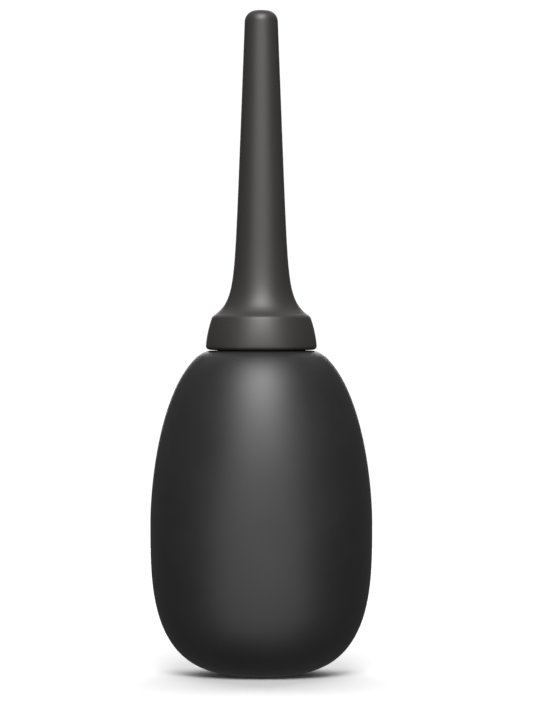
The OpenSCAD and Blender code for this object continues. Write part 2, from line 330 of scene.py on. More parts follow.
def turning_tree():
    """A profile, a chain of points in the XZ plane, turned round Z.
    Points with the attribute seam carry the mould's parting line, a low ridge where Y is 0.
    Points with the attribute thread carry a screw thread, which fades out over Lead turns at both ends."""
    tree = bpy.data.node_groups.new("turned_piece", "GeometryNodeTree")
    source, out = sockets(
        tree, Profile="Geometry", Steps="Int", Crowding="Float", Ridge_Height="Float", Ridge_Width="Float",
        Thread_Depth="Float", Thread_Start="Float", Pitch="Float", Turns="Float", Lead="Float",
        Root_Width="Float", Crest_Width="Float", Material="Material")
    given = source.outputs
    size = add(tree, "GeometryNodeAttributeDomainSize", Geometry=given["Profile"])
    across = add(tree, "ShaderNodeMath", {"operation": "ADD"}, _0=given["Steps"], _1=1)
    grid = add(tree, "GeometryNodeMeshGrid", Size_X=1, Size_Y=1, Vertices_X=across,
               Vertices_Y=size.outputs["Point Count"])
    place = add(tree, "ShaderNodeSeparateXYZ", _0=add(tree, "GeometryNodeInputPosition"))
    # each grid point's profile point
    last = add(tree, "ShaderNodeMath", {"operation": "SUBTRACT"}, _0=size.outputs["Point Count"], _1=1)
    up = add(tree, "ShaderNodeMath", {"operation": "ADD"}, _0=place.outputs["Y"], _1=0.5)
    row = add(tree, "ShaderNodeMath", {"operation": "MULTIPLY_ADD"}, _0=up, _1=last, _2=0.5)
    station = add(tree, "ShaderNodeMath", {"operation": "FLOOR"}, _0=row)
    spot = add(tree, "GeometryNodeSampleIndex", {"data_type": "FLOAT_VECTOR", "domain": "POINT"},
               Geometry=given["Profile"], Value=add(tree, "GeometryNodeInputPosition"), Index=station)
    flags = {}
    for flag in ("seam", "thread"):
        named = add(tree, "GeometryNodeInputNamedAttribute", {"data_type": "FLOAT"}, Name=flag)
        flags[flag] = add(tree, "GeometryNodeSampleIndex", {"data_type": "FLOAT", "domain": "POINT"},
                          Geometry=given["Profile"], Value=named, Index=station)
    # its angle: even steps, drawn together where the parting line runs
    turn = add(tree, "ShaderNodeMath", {"operation": "ADD"}, _0=place.outputs["X"], _1=0.5)
    double = add(tree, "ShaderNodeMath", {"operation": "MULTIPLY"}, _0=turn, _1=4 * math.pi)
    wave = add(tree, "ShaderNodeMath", {"operation": "SINE"}, _0=double)
    pull = add(tree, "ShaderNodeMath", {"operation": "MULTIPLY"}, _0=wave, _1=given["Crowding"])
    even = add(tree, "ShaderNodeMath", {"operation": "MULTIPLY"}, _0=turn, _1=2 * math.pi)
    angle = add(tree, "ShaderNodeMath", {"operation": "SUBTRACT"}, _0=even, _1=pull)
    # the thread: the height above the nearest turn of the helix, and how far round the helix that is
    flat = add(tree, "ShaderNodeSeparateXYZ", _0=spot)
    lifted = add(tree, "ShaderNodeMath", {"operation": "SUBTRACT"}, _0=flat.outputs["Z"],
                 _1=given["Thread Start"])
    rows = add(tree, "ShaderNodeMath", {"operation": "DIVIDE"}, _0=lifted, _1=given["Pitch"])
    share = add(tree, "ShaderNodeMath", {"operation": "DIVIDE"}, _0=angle, _1=2 * math.pi)
    above = add(tree, "ShaderNodeMath", {"operation": "SUBTRACT"}, _0=rows, _1=share)
    nearest = add(tree, "ShaderNodeMath", {"operation": "ROUND"}, _0=above)
    offset = add(tree, "ShaderNodeMath", {"operation": "SUBTRACT"}, _0=above, _1=nearest)
    away = add(tree, "ShaderNodeMath", {"operation": "ABSOLUTE"}, _0=offset)
    gap = add(tree, "ShaderNodeMath", {"operation": "MULTIPLY"}, _0=away, _1=given["Pitch"])
    flank = add(tree, "ShaderNodeMapRange", {"interpolation_type": "SMOOTHSTEP"}, Value=gap,
                From_Min=given["Root Width"], From_Max=given["Crest Width"], To_Min=0, To_Max=1)
    along = add(tree, "ShaderNodeMath", {"operation": "ADD"}, _0=nearest, _1=share)
    left = add(tree, "ShaderNodeMath", {"operation": "SUBTRACT"}, _0=given["Turns"], _1=along)
    end = add(tree, "ShaderNodeMath", {"operation": "MINIMUM"}, _0=along, _1=left)
    fade = add(tree, "ShaderNodeMapRange", {"interpolation_type": "SMOOTHSTEP"}, Value=end,
               From_Min=0, From_Max=given["Lead"], To_Min=0, To_Max=1)
    rise = add(tree, "ShaderNodeMath", {"operation": "MULTIPLY"}, _0=flank, _1=fade)
    deep = add(tree, "ShaderNodeMath", {"operation": "MULTIPLY"}, _0=rise, _1=given["Thread Depth"])
    cut = add(tree, "ShaderNodeMath", {"operation": "MULTIPLY"}, _0=deep, _1=flags["thread"])
    radius = add(tree, "ShaderNodeMath", {"operation": "ADD"}, _0=flat.outputs["X"], _1=cut)
    # the place on the turned surface
    east = add(tree, "ShaderNodeMath", {"operation": "MULTIPLY"}, _0=radius,
               _1=add(tree, "ShaderNodeMath", {"operation": "COSINE"}, _0=angle))
    north = add(tree, "ShaderNodeMath", {"operation": "MULTIPLY"}, _0=radius,
                _1=add(tree, "ShaderNodeMath", {"operation": "SINE"}, _0=angle))
    point = add(tree, "ShaderNodeCombineXYZ", X=east, Y=north, Z=flat.outputs["Z"])
    kept = add(tree, "GeometryNodeStoreNamedAttribute", {"data_type": "FLOAT", "domain": "POINT"},
               Geometry=grid, Name="on_seam", Value=flags["seam"])
    turned = add(tree, "GeometryNodeSetPosition", Geometry=kept, Position=point)
    closed = add(tree, "GeometryNodeMergeByDistance", Geometry=turned, Distance=WELD)
    # the parting line, along the surface's own normal
    side = add(tree, "ShaderNodeSeparateXYZ", _0=add(tree, "GeometryNodeInputPosition"))
    near = add(tree, "ShaderNodeMath", {"operation": "DIVIDE"}, _0=side.outputs["Y"], _1=given["Ridge Width"])
    square = add(tree, "ShaderNodeMath", {"operation": "MULTIPLY"}, _0=near, _1=near)
    minus = add(tree, "ShaderNodeMath", {"operation": "MULTIPLY"}, _0=square, _1=-1)
    bell = add(tree, "ShaderNodeMath", {"operation": "EXPONENT"}, _0=minus)
    tall = add(tree, "ShaderNodeMath", {"operation": "MULTIPLY"}, _0=bell, _1=given["Ridge Height"])
    shown = add(tree, "ShaderNodeMath", {"operation": "MULTIPLY"}, _0=tall,
                _1=add(tree, "GeometryNodeInputNamedAttribute", {"data_type": "FLOAT"}, Name="on_seam"))
    shift = add(tree, "ShaderNodeVectorMath", {"operation": "SCALE"},
                _0=add(tree, "GeometryNodeInputNormal"), Scale=shown)
    ridged = add(tree, "GeometryNodeSetPosition", Geometry=closed, Offset=shift)
    bare = add(tree, "GeometryNodeRemoveAttribute", Geometry=ridged, Name="on_seam")
    finish_tree(tree, bare, source, out)
    return tree


def ring_tree(operation):
    """Copies of a part, spaced evenly round Z, cut out of a body (DIFFERENCE) or joined to it (UNION)."""
    tree = bpy.data.node_groups.new("ring_" + operation.lower(), "GeometryNodeTree")
    source, out = sockets(tree, Body="Geometry", Part="Object", Count="Int", Start="Float",
                          Material="Material")
    given = source.outputs
    part = add(tree, "GeometryNodeObjectInfo", Object=given["Part"])
    points = add(tree, "GeometryNodePoints", Count=given["Count"])
    step = add(tree, "ShaderNodeMath", {"operation": "DIVIDE"}, _0=2 * math.pi, _1=given["Count"])
    turn = add(tree, "ShaderNodeMath", {"operation": "MULTIPLY_ADD"},
               _0=add(tree, "GeometryNodeInputIndex"), _1=step, _2=given["Start"])
    copies = add(tree, "GeometryNodeInstanceOnPoints", Points=points, Instance=part.outputs["Geometry"],
                 Rotation=add(tree, "ShaderNodeCombineXYZ", Z=turn))
    real = add(tree, "GeometryNodeRealizeInstances", Geometry=copies)
    joined = add(tree, "GeometryNodeMeshBoolean", {"operation": operation, "solver": "EXACT"}, Mesh_2=real)
    tree.links.new(given["Body"], joined.inputs["Mesh 1" if operation == "DIFFERENCE" else "Mesh 2"])
    finish_tree(tree, joined, source, out)
    return tree


def coil_tree():
    """A coil spring of round wire along Z, with a flat turn at each end."""
    tree = bpy.data.node_groups.new("coil", "GeometryNodeTree")
    source, out = sockets(tree, Body="Geometry", Coil_Radius="Float", Wire_Radius="Float", Turns="Float",
                          End_Turns="Float", Bottom="Float", Height="Float", Points="Int", Sides="Int",
                          Material="Material")
    given = source.outputs
    line = add(tree, "GeometryNodeMeshLine", Count=given["Points"])
    last = add(tree, "ShaderNodeMath", {"operation": "SUBTRACT"}, _0=given["Points"], _1=1)
    share = add(tree, "ShaderNodeMath", {"operation": "DIVIDE"},
                _0=add(tree, "GeometryNodeInputIndex"), _1=last)
    turns = add(tree, "ShaderNodeMath", {"operation": "MULTIPLY"}, _0=share, _1=given["Turns"])
    angle = add(tree, "ShaderNodeMath", {"operation": "MULTIPLY"}, _0=turns, _1=2 * math.pi)
    east = add(tree, "ShaderNodeMath", {"operation": "MULTIPLY"}, _0=given["Coil Radius"],
               _1=add(tree, "ShaderNodeMath", {"operation": "COSINE"}, _0=angle))
    north = add(tree, "ShaderNodeMath", {"operation": "MULTIPLY"}, _0=given["Coil Radius"],
                _1=add(tree, "ShaderNodeMath", {"operation": "SINE"}, _0=angle))
    full = add(tree, "ShaderNodeMath", {"operation": "SUBTRACT"}, _0=given["Turns"], _1=given["End Turns"])
    top = add(tree, "ShaderNodeMath", {"operation": "ADD"}, _0=given["Bottom"], _1=given["Height"])
    height = add(tree, "ShaderNodeMapRange", Value=turns, From_Min=given["End Turns"], From_Max=full,
                 To_Min=given["Bottom"], To_Max=top)
    spot = add(tree, "ShaderNodeCombineXYZ", X=east, Y=north, Z=height)
    path = add(tree, "GeometryNodeMeshToCurve",
               Mesh=add(tree, "GeometryNodeSetPosition", Geometry=line, Position=spot))
    section = add(tree, "GeometryNodeCurvePrimitiveCircle", Resolution=given["Sides"],
                  Radius=given["Wire Radius"])
    wire = add(tree, "GeometryNodeCurveToMesh", Curve=path, Profile_Curve=section.outputs["Curve"],
               Fill_Caps=True)
    finish_tree(tree, wire, source, out)
    return tree


def apply_tree(piece, tree, **inputs):
    """Runs a tree on a piece, and keeps the result as a plain mesh with its faces outwards."""
    modifier = piece.modifiers.new(tree.name, "NODES")
    modifier.node_group = tree
    for item in tree.interface.items_tree:
        value = inputs.get(item.name.replace(" ", "_"))
        if item.item_type == "SOCKET" and item.in_out == "INPUT" and value is not None:
            modifier[item.identifier] = value
    result = bpy.data.meshes.new_from_object(piece.evaluated_get(bpy.context.evaluated_depsgraph_get()))
    piece.modifiers.remove(modifier)
    old, piece.data = piece.data, result
    bpy.data.meshes.remove(old)
    result.name = piece.name


def tidy_mesh(piece, sharp=SHARP):
    """Merges doubles, turns the faces outwards and shades the piece smooth up to an edge that is sharp."""
    work = bmesh.new()
    work.from_mesh(piece.data)
    bmesh.ops.remove_doubles(work, verts=work.verts, dist=WELD)
    bmesh.ops.dissolve_degenerate(work, edges=work.edges, dist=1e-8)
    bmesh.ops.recalc_face_normals(work, faces=work.faces)
    work.to_mesh(piece.data)
    work.free()
    piece.data.shade_smooth()
    piece.data.set_sharp_from_angle(angle=math.radians(sharp))


def new_piece(name, mesh):
    """A new object in the scene, made of that mesh."""
    piece = bpy.data.objects.new(name, mesh)
    bpy.context.scene.collection.objects.link(piece)
    return piece


def turned(name, tree, outline, material, steps=128, closed=False, seam=None, thread=None, sharp=SHARP,
           **sizes):
    """A piece turned from an outline. seam and thread say which of its points, given (r, z), carry them."""
    points = list(outline) + ([outline[0]] if closed else [])
    mesh = bpy.data.meshes.new(name)
    edges = [(i, i + 1) for i in range(len(points) - 1)]
    mesh.from_pydata([(r * MM, 0, z * MM) for r, z in points], edges, [])
    for flag, test in (("seam", seam), ("thread", thread)):
        values = [1.0 if test and test(r, z) else 0.0 for r, z in points]
        mesh.attributes.new(flag, "FLOAT", "POINT").data.foreach_set("value", values)
    piece = new_piece(name, mesh)
    defaults = {"Steps": steps, "Crowding": 0.0, "Ridge_Height": 0.0, "Ridge_Width": MM, "Thread_Depth": 0.0,
                "Thread_Start": 0.0, "Pitch": MM, "Turns": 1.0, "Lead": 0.1, "Root_Width": 0.7 * MM,
                "Crest_Width": 0.35 * MM}
    apply_tree(piece, tree, **{**defaults, **sizes}, Material=material)
    tidy_mesh(piece, sharp)
    return piece


def prism(name, outline, low, high):
    """A scratch solid: an outline of (x, y) points, pulled up from one height to another. It is cut from or
    joined to a piece, and then dropped."""
    count = len(outline)
    points = [(x * MM, y * MM, z * MM) for z in (low, high) for x, y in outline]
    sides = [(i, (i + 1) % count, (i + 1) % count + count, i + count) for i in range(count)]
    mesh = bpy.data.meshes.new(name)
    mesh.from_pydata(points, [], [tuple(range(count))[::-1], tuple(range(count, 2 * count))] + sides)
    return new_piece(name, mesh)


def around(piece, tree, part, count, start, material):
    """Cuts or joins copies of a scratch part round a piece, and drops the part. The first copy is turned by
    start degrees."""
    apply_tree(piece, tree, Part=part, Count=count, Start=math.radians(start), Material=material)
    bpy.data.meshes.remove(part.data)
    tidy_mesh(piece)


def join(piece, other):
    """Adds another piece's mesh to a piece, and drops the other."""
    work = bmesh.new()
    work.from_mesh(piece.data)
    work.from_mesh(other.data)
    work.to_mesh(piece.data)
    work.free()
    bpy.data.meshes.remove(other.data)


def place(piece, node, slot, body):
    """Says which CAD node a piece stands for, by hiding that node, and what it moves with. slot, meant for
    its finish, is not used.
    """
    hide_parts(node)
    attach(piece, body)


# ---- Materials
# The finishes of the bulb and the nozzle are matched to how this object looks, those of the pieces inside
# are guesses. All sizes of patterns are estimates, and the finest are drawn coarser than they would be,
# so that they show.

def per(size):
    """The Scale of a pattern whose features are about that many millimetres apart."""
    return 1 / (size * MM)


def plain_material(name):
    """A material with nothing but its shader, for the finishes below to build on."""
    material = bpy.data.materials.new(name)
    material.use_nodes = True
    tree = material.node_tree
    tree.nodes.clear()
    shader = add(tree, "ShaderNodeBsdfPrincipled")
    add(tree, "ShaderNodeOutputMaterial", Surface=shader)
    return material, tree, shader


def moulded_rubber():
    """Black rubber, compression moulded in a bead-blasted mould: a soft wide highlight, a skin of
    dimples about 0.3 mm apart, and a faint grey bloom in patches about 22 mm apart."""
    material, tree, shader = plain_material("moulded_rubber_bead_blasted")
    here = add(tree, "ShaderNodeTexCoord").outputs["Object"]
    bloom = add(tree, "ShaderNodeTexNoise", Vector=here, Scale=per(22), Detail=3, Roughness=0.6)
    tone = add(tree, "ShaderNodeValToRGB", Fac=bloom)
    tone.color_ramp.elements[0].position = 0.35
    tone.color_ramp.elements[0].color = linear("#171717")
    tone.color_ramp.elements[1].position = 0.7
    tone.color_ramp.elements[1].color = linear("#1c1c1c")
    dull = add(tree, "ShaderNodeMapRange", Value=bloom, From_Min=0.3, From_Max=0.7, To_Min=0.43, To_Max=0.47)
    grain = add(tree, "ShaderNodeTexNoise", Vector=here, Scale=per(0.3), Detail=2, Roughness=0.5)
    bump = add(tree, "ShaderNodeBump", Strength=0.12, Distance=0.05 * MM, Height=grain)
    for socket, value in (("Base Color", tone.outputs["Color"]), ("Roughness", dull.outputs[0]),
                          ("Normal", bump.outputs[0])):
        tree.links.new(value, shader.inputs[socket])
    return material


def moulded_abs():
    """Charcoal ABS, injection moulded: a little warm, satin from a spark-eroded grain of about 0.22 mm,
    and with swirls, about 17 mm apart, that the plastic's flow leaves in its gloss."""
    material, tree, shader = plain_material("moulded_abs_satin")
    here = add(tree, "ShaderNodeTexCoord").outputs["Object"]
    shader.inputs["Base Color"].default_value = linear("#282625")
    flow = add(tree, "ShaderNodeTexNoise", Vector=here, Scale=per(17), Detail=2, Roughness=0.5)
    dull = add(tree, "ShaderNodeMapRange", Value=flow, From_Min=0.3, From_Max=0.7, To_Min=0.43, To_Max=0.47)
    grain = add(tree, "ShaderNodeTexNoise", Vector=here, Scale=per(0.22), Detail=2, Roughness=0.5)
    bump = add(tree, "ShaderNodeBump", Strength=0.1, Distance=0.04 * MM, Height=grain)
    tree.links.new(dull.outputs[0], shader.inputs["Roughness"])
    tree.links.new(bump.outputs[0], shader.inputs["Normal"])
    return material


def moulded_nylon():
    """Black nylon with a little glass, injection moulded: duller than the ABS, with pale flecks, about
    0.7 mm apart, that tell the hidden parts from the nozzle."""
    material, tree, shader = plain_material("moulded_nylon_black")
    here = add(tree, "ShaderNodeTexCoord").outputs["Object"]
    fleck = add(tree, "ShaderNodeTexNoise", Vector=here, Scale=per(0.7), Detail=2, Roughness=0.7)
    tone = add(tree, "ShaderNodeValToRGB", Fac=fleck)
    tone.color_ramp.elements[0].position = 0.45
    tone.color_ramp.elements[0].color = linear("#262627")
    tone.color_ramp.elements[1].position = 0.75
    tone.color_ramp.elements[1].color = linear("#3d3d3e")
    dull = add(tree, "ShaderNodeMapRange", Value=fleck, From_Min=0.3, From_Max=0.7, To_Min=0.5, To_Max=0.42)
    bump = add(tree, "ShaderNodeBump", Strength=0.15, Distance=0.03 * MM, Height=fleck)
    for socket, value in (("Base Color", tone.outputs["Color"]), ("Roughness", dull.outputs[0]),
                          ("Normal", bump.outputs[0])):
        tree.links.new(value, shader.inputs[socket])
    return material


def cast_silicone():
    """Milky silicone, cast in a polished mould: light sinks about 1 mm into it, and its smooth wet-looking
    skin is dulled, in clouds about 4 mm apart, by the dust that the valve passes."""
    material, tree, shader = plain_material("cast_silicone_milky")
    here = add(tree, "ShaderNodeTexCoord").outputs["Object"]
    cloud = add(tree, "ShaderNodeTexNoise", Vector=here, Scale=per(4), Detail=2, Roughness=0.5)
    tone = add(tree, "ShaderNodeValToRGB", Fac=cloud)
    tone.color_ramp.elements[0].color = linear("#c9c4b8")
    tone.color_ramp.elements[1].color = linear("#dedad0")
    dust = add(tree, "ShaderNodeMapRange", Value=cloud, From_Min=0.3, From_Max=0.7, To_Min=0.25, To_Max=0.36)
    tree.links.new(tone.outputs["Color"], shader.inputs["Base Color"])
    tree.links.new(dust.outputs[0], shader.inputs["Roughness"])
    shader.inputs["IOR"].default_value = 1.41
    shader.inputs["Subsurface Weight"].default_value = 0.3
    shader.inputs["Subsurface Scale"].default_value = MM
    return material


def ground_nitrile():
    """Red-brown nitrile rubber, ground round between stones: dull, with the pits of the stones' grit,
    about 0.4 mm apart. Its red shows at a glance where the valve is."""
    material, tree, shader = plain_material("ground_nitrile_red")
    here = add(tree, "ShaderNodeTexCoord").outputs["Object"]
    grit = add(tree, "ShaderNodeTexNoise", Vector=here, Scale=per(0.4), Detail=3, Roughness=0.65)
    tone = add(tree, "ShaderNodeValToRGB", Fac=grit)
    tone.color_ramp.elements[0].color = linear("#5c221d")
    tone.color_ramp.elements[1].color = linear("#7a332b")
    bump = add(tree, "ShaderNodeBump", Strength=0.25, Distance=0.02 * MM, Height=grit)
    tree.links.new(tone.outputs["Color"], shader.inputs["Base Color"])
    tree.links.new(bump.outputs[0], shader.inputs["Normal"])
    shader.inputs["Roughness"].default_value = 0.62
    return material


def sheet_rubber():
    """Black rubber punched from calendered sheet: flat and dull, with the print of the cloth it was rolled
    in, with threads about 0.35 mm apart."""
    material, tree, shader = plain_material("calendered_rubber_sheet")
    here = add(tree, "ShaderNodeTexCoord").outputs["Object"]
    shader.inputs["Base Color"].default_value = linear("#1f1f20")
    shader.inputs["Roughness"].default_value = 0.7
    # a wave repeats every pi / 10 divided by its Scale
    threads = [add(tree, "ShaderNodeTexWave", {"bands_direction": way}, Vector=here,
                   Scale=math.pi / 10 * per(0.35), Distortion=0.4) for way in "XY"]
    cloth = add(tree, "ShaderNodeMath", {"operation": "MULTIPLY"}, _0=threads[0].outputs["Fac"],
                _1=threads[1].outputs["Fac"])
    bump = add(tree, "ShaderNodeBump", Strength=0.3, Distance=0.03 * MM, Height=cloth)
    tree.links.new(bump.outputs[0], shader.inputs["Normal"])
    return material


def spring_wire():
    """Drawn stainless spring wire: bright, with the die's streaks, about 0.55 mm apart, and a straw tint
    from the tempering, so that it doesn't look like chrome."""
    material, tree, shader = plain_material("drawn_stainless_wire")
    here = add(tree, "ShaderNodeTexCoord").outputs["Object"]
    streak = add(tree, "ShaderNodeTexNoise", Vector=here, Scale=per(0.55), Detail=2, Roughness=0.6)
    tone = add(tree, "ShaderNodeValToRGB", Fac=streak)
    tone.color_ramp.elements[0].color = linear("#aaa89f")
    tone.color_ramp.elements[1].color = linear("#c3c5c8")
    dull = add(tree, "ShaderNodeMapRange", Value=streak, From_Min=0.3, From_Max=0.7, To_Min=0.2, To_Max=0.34)
    tree.links.new(tone.outputs["Color"], shader.inputs["Base Color"])
    tree.links.new(dull.outputs[0], shader.inputs["Roughness"])
    shader.inputs["Metallic"].default_value = 1
    return material


def needled_felt():
    """Off-white polyester felt: its fibres, about 0.03 mm thick, are too fine to show, so the tangles they
    mat into are drawn, about 0.9 mm apart. They make it look soft and uneven."""
    material, tree, shader = plain_material("needled_felt_white")
    here = add(tree, "ShaderNodeTexCoord").outputs["Object"]
    fibres = add(tree, "ShaderNodeTexNoise", Vector=here, Scale=per(0.9), Detail=4, Roughness=0.75,
                 Distortion=2.5)
    tone = add(tree, "ShaderNodeValToRGB", Fac=fibres)
    tone.color_ramp.elements[0].position = 0.3
    tone.color_ramp.elements[0].color = linear("#a9a59a")
    tone.color_ramp.elements[1].position = 0.65
    tone.color_ramp.elements[1].color = linear("#dedbd2")
    bump = add(tree, "ShaderNodeBump", Strength=0.8, Distance=0.1 * MM, Height=fibres)
    tree.links.new(tone.outputs["Color"], shader.inputs["Base Color"])
    tree.links.new(bump.outputs[0], shader.inputs["Normal"])
    shader.inputs["Roughness"].default_value = 0.95
    shader.inputs["Sheen Weight"].default_value = 0.3
    return material


# ---- Pieces

def on_bulb_wall(r, z, foot_reach, top_reach):
    """Whether a point is on the outside of the bulb's wall, which carries the parting line."""
    if z < WIDEST_Z:
        outside_r = egg(bulb_r, foot_reach, FOOT_RISE, FOOT_FULLNESS, z)
    else:
        outside_r = egg(bulb_r, top_reach, TOP_RISE, TOP_FULLNESS, z)
    return FOOT_R + 1 < r and outside_r - BULB_SKIN < r and z < land_z - LAND_EDGE


def rubber_bulb(tree, material):
    """The bulb: foot ring, egg-shaped wall, land, lip and the hole for the intake's plug."""
    inner_r = bulb_r - WALL
    inner_top = land_z - LIP
    foot_reach = egg_reach(FOOT_R / bulb_r, WIDEST_Z, FOOT_RISE, FOOT_FULLNESS)
    top_reach = egg_reach(LAND_R / bulb_r, land_z - WIDEST_Z, TOP_RISE, TOP_FULLNESS)
    floor_r = upper_flange_r + FLOOR_RIM
    floor_reach = egg_reach(floor_r / inner_r, WIDEST_Z - BASE, FOOT_RISE, FOOT_FULLNESS)
    edge_z = land_z - LAND_EDGE
    edge_r = egg(bulb_r, top_reach, TOP_RISE, TOP_FULLNESS, edge_z)
    outside = egg_side(bulb_r, 0, edge_z, foot_reach, top_reach, steps=110)
    inside = egg_side(inner_r, BASE, inner_top, floor_reach, top_reach - WALL, steps=60)
    outline = (rounded([(BARREL_R, RECESS), (RECESS_R, RECESS), (RECESS_R, 0, 0.3), (FOOT_R, 0)])[:-1]
               + outside
               + bend((edge_r, edge_z), (LAND_R, land_z), (LAND_R - LAND_EDGE, land_z),
                      steps=12)[1:]
               + rounded([(LAND_R - LAND_EDGE - RUN, land_z), (NECK_HOLE_R, land_z), (NECK_HOLE_R, inner_top),
                          (inside[-1][0] - 2 * RUN, inner_top)])
               + inside[::-1]
               + rounded([(floor_r - FLOOR_RIM, BASE), (BARREL_R, BASE), (BARREL_R, RECESS)])[:-1])
    piece = turned("rubber_bulb", tree, outline, material, steps=FINE_STEPS, closed=True,
                   seam=lambda r, z: on_bulb_wall(r, z, foot_reach, top_reach),
                   Crowding=0.44, Ridge_Height=0.06 * MM, Ridge_Width=0.22 * MM, sharp=50)
    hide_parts("bulb_shell")
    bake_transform(piece)


def cone_at(z):
    """The radius of the cone alone."""
    return CONE_R + (TIP_R - CONE_R) * (z - shoulder_z) / (tip_z - shoulder_z)


def nozzle_r(z):
    """The cone, with a flare that dies away above the shoulder."""
    return cone_at(z) + (SHOULDER_R - CONE_R) * (FLARE_LEN / (z - shoulder_z + FLARE_LEN)) ** FLARE_POWER


def on_nozzle_wall(r, z):
    """Whether a point is on the outside of the nozzle, which carries its parting line."""
    if z < shoulder_z:
        return r > SKIRT_SKIN_R
    return r > nozzle_r(z) - NOZZLE_SKIN


def nozzle(tree, material):
    """The nozzle: skirt, shoulder, flared cone, rounded tip, outlet hole, tapered bore and inside thread."""
    side_z = rim_z + SKIRT_ROUND
    side_h = SKIRT_H - SKIRT_ROUND
    flare_z = shoulder_z + SHOULDER_ROUND
    tip_low = tip_z - TIP_ROUND

    def skirt_r(u):
        return rim_r + (SHOULDER_R - rim_r) * u + SKIRT_BULGE * u * (1 - u)

    outline = [(RELIEF_R, rim_z)]
    outline += bend((rim_r - RIM_CURVE, rim_z), (rim_r, rim_z), (rim_r, side_z), steps=10)
    outline += [(skirt_r(i / SKIRT_STEPS), side_z + side_h * i / SKIRT_STEPS)
                for i in range(1, SKIRT_STEPS - 1)]
    outline += bend((skirt_r(SHOULDER_START), side_z + side_h * SHOULDER_START), (SHOULDER_R, shoulder_z),
                    (nozzle_r(flare_z), flare_z), steps=8)
    for i in range(1, CONE_STEPS + 1):
        z = flare_z + (tip_low - flare_z) * (i / CONE_STEPS) ** CONE_CROWDING
        outline.append((nozzle_r(z), z))
    outline += arc((cone_at(tip_low) - TIP_ROUND, tip_low), TIP_ROUND, start=7, end=90, steps=16)
    outline += arc((OUTLET_R + LIP_ROUND, tip_z - LIP_ROUND), LIP_ROUND, start=90, end=180, steps=6)
    pocket_r = gasket_r + GASKET_SLACK
    thread_top = neck_top - THREAD_STOP
    thread_low = RELIEF_Z + RUN
    outline += rounded([(OUTLET_R, tip_z - LIP_ROUND - RUN), (OUTLET_R, tip_z - NOSE_LEN),
                        (NOSE_R, tip_z - NOSE_LEN), (THROAT_R, gasket_top), (pocket_r, gasket_top),
                        (pocket_r, neck_top), (SKIRT_IN_R, neck_top), (SKIRT_IN_R, thread_top)])
    outline += stretch((SKIRT_IN_R, thread_top), (SKIRT_IN_R, thread_low), THREAD_STEP)
    outline += rounded([(SKIRT_IN_R, thread_low), (SKIRT_IN_R, RELIEF_Z), (RELIEF_R, RELIEF_Z),
                        (RELIEF_R, rim_z)])[:-1]

    def on_thread(r, z):
        return abs(r - SKIRT_IN_R) < SAME and RELIEF_Z + THREAD_MARGIN < z < thread_top + THREAD_MARGIN

    piece = turned("nozzle_body", tree, outline, material, steps=FINE_STEPS, closed=True,
                   seam=on_nozzle_wall, thread=on_thread,
                   Crowding=0.3, Ridge_Height=0.03 * MM, Ridge_Width=0.15 * MM,
                   Thread_Depth=-NOZZLE_THREAD_T * MM, Thread_Start=NOZZLE_THREAD_Z * MM,
                   Pitch=THREAD_PITCH * MM, Turns=NOZZLE_THREAD_TURNS, Lead=THREAD_FADE)
    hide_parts("nozzle")
    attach(piece, "nozzle")


def bar(inner, outer, width):
    """The outline of a bar that points away from the axis."""
    half = width / 2
    return [(inner, -half), (outer, -half), (outer, half), (inner, half)]


def arc_slot(middle, width, angle, steps=12, end_step=15):
    """The outline of a slot along a circle round the axis, with round ends. There are steps points along
    half of it, and one every end_step degrees round its ends."""
    half = math.radians(angle) / 2 - width / 2 / middle
    outer, inner = middle + width / 2, middle - width / 2
    outline = [(outer * math.cos(a), outer * math.sin(a))
               for a in (half * (i / steps - 1) for i in range(2 * steps + 1))]
    end = (middle * math.cos(half), middle * math.sin(half))
    outline += arc(end, width / 2, math.degrees(half) + end_step, math.degrees(half) + (180 - end_step),
                   180 // end_step - 2)
    outline += [(inner * math.cos(a), inner * math.sin(a))
                for a in (half * (1 - i / steps) for i in range(2 * steps + 1))]
    end = (end[0], -end[1])
    outline += arc(end, width / 2, -math.degrees(half) + (180 + end_step),
                   -math.degrees(half) + (360 - end_step), 180 // end_step - 2)
    return outline


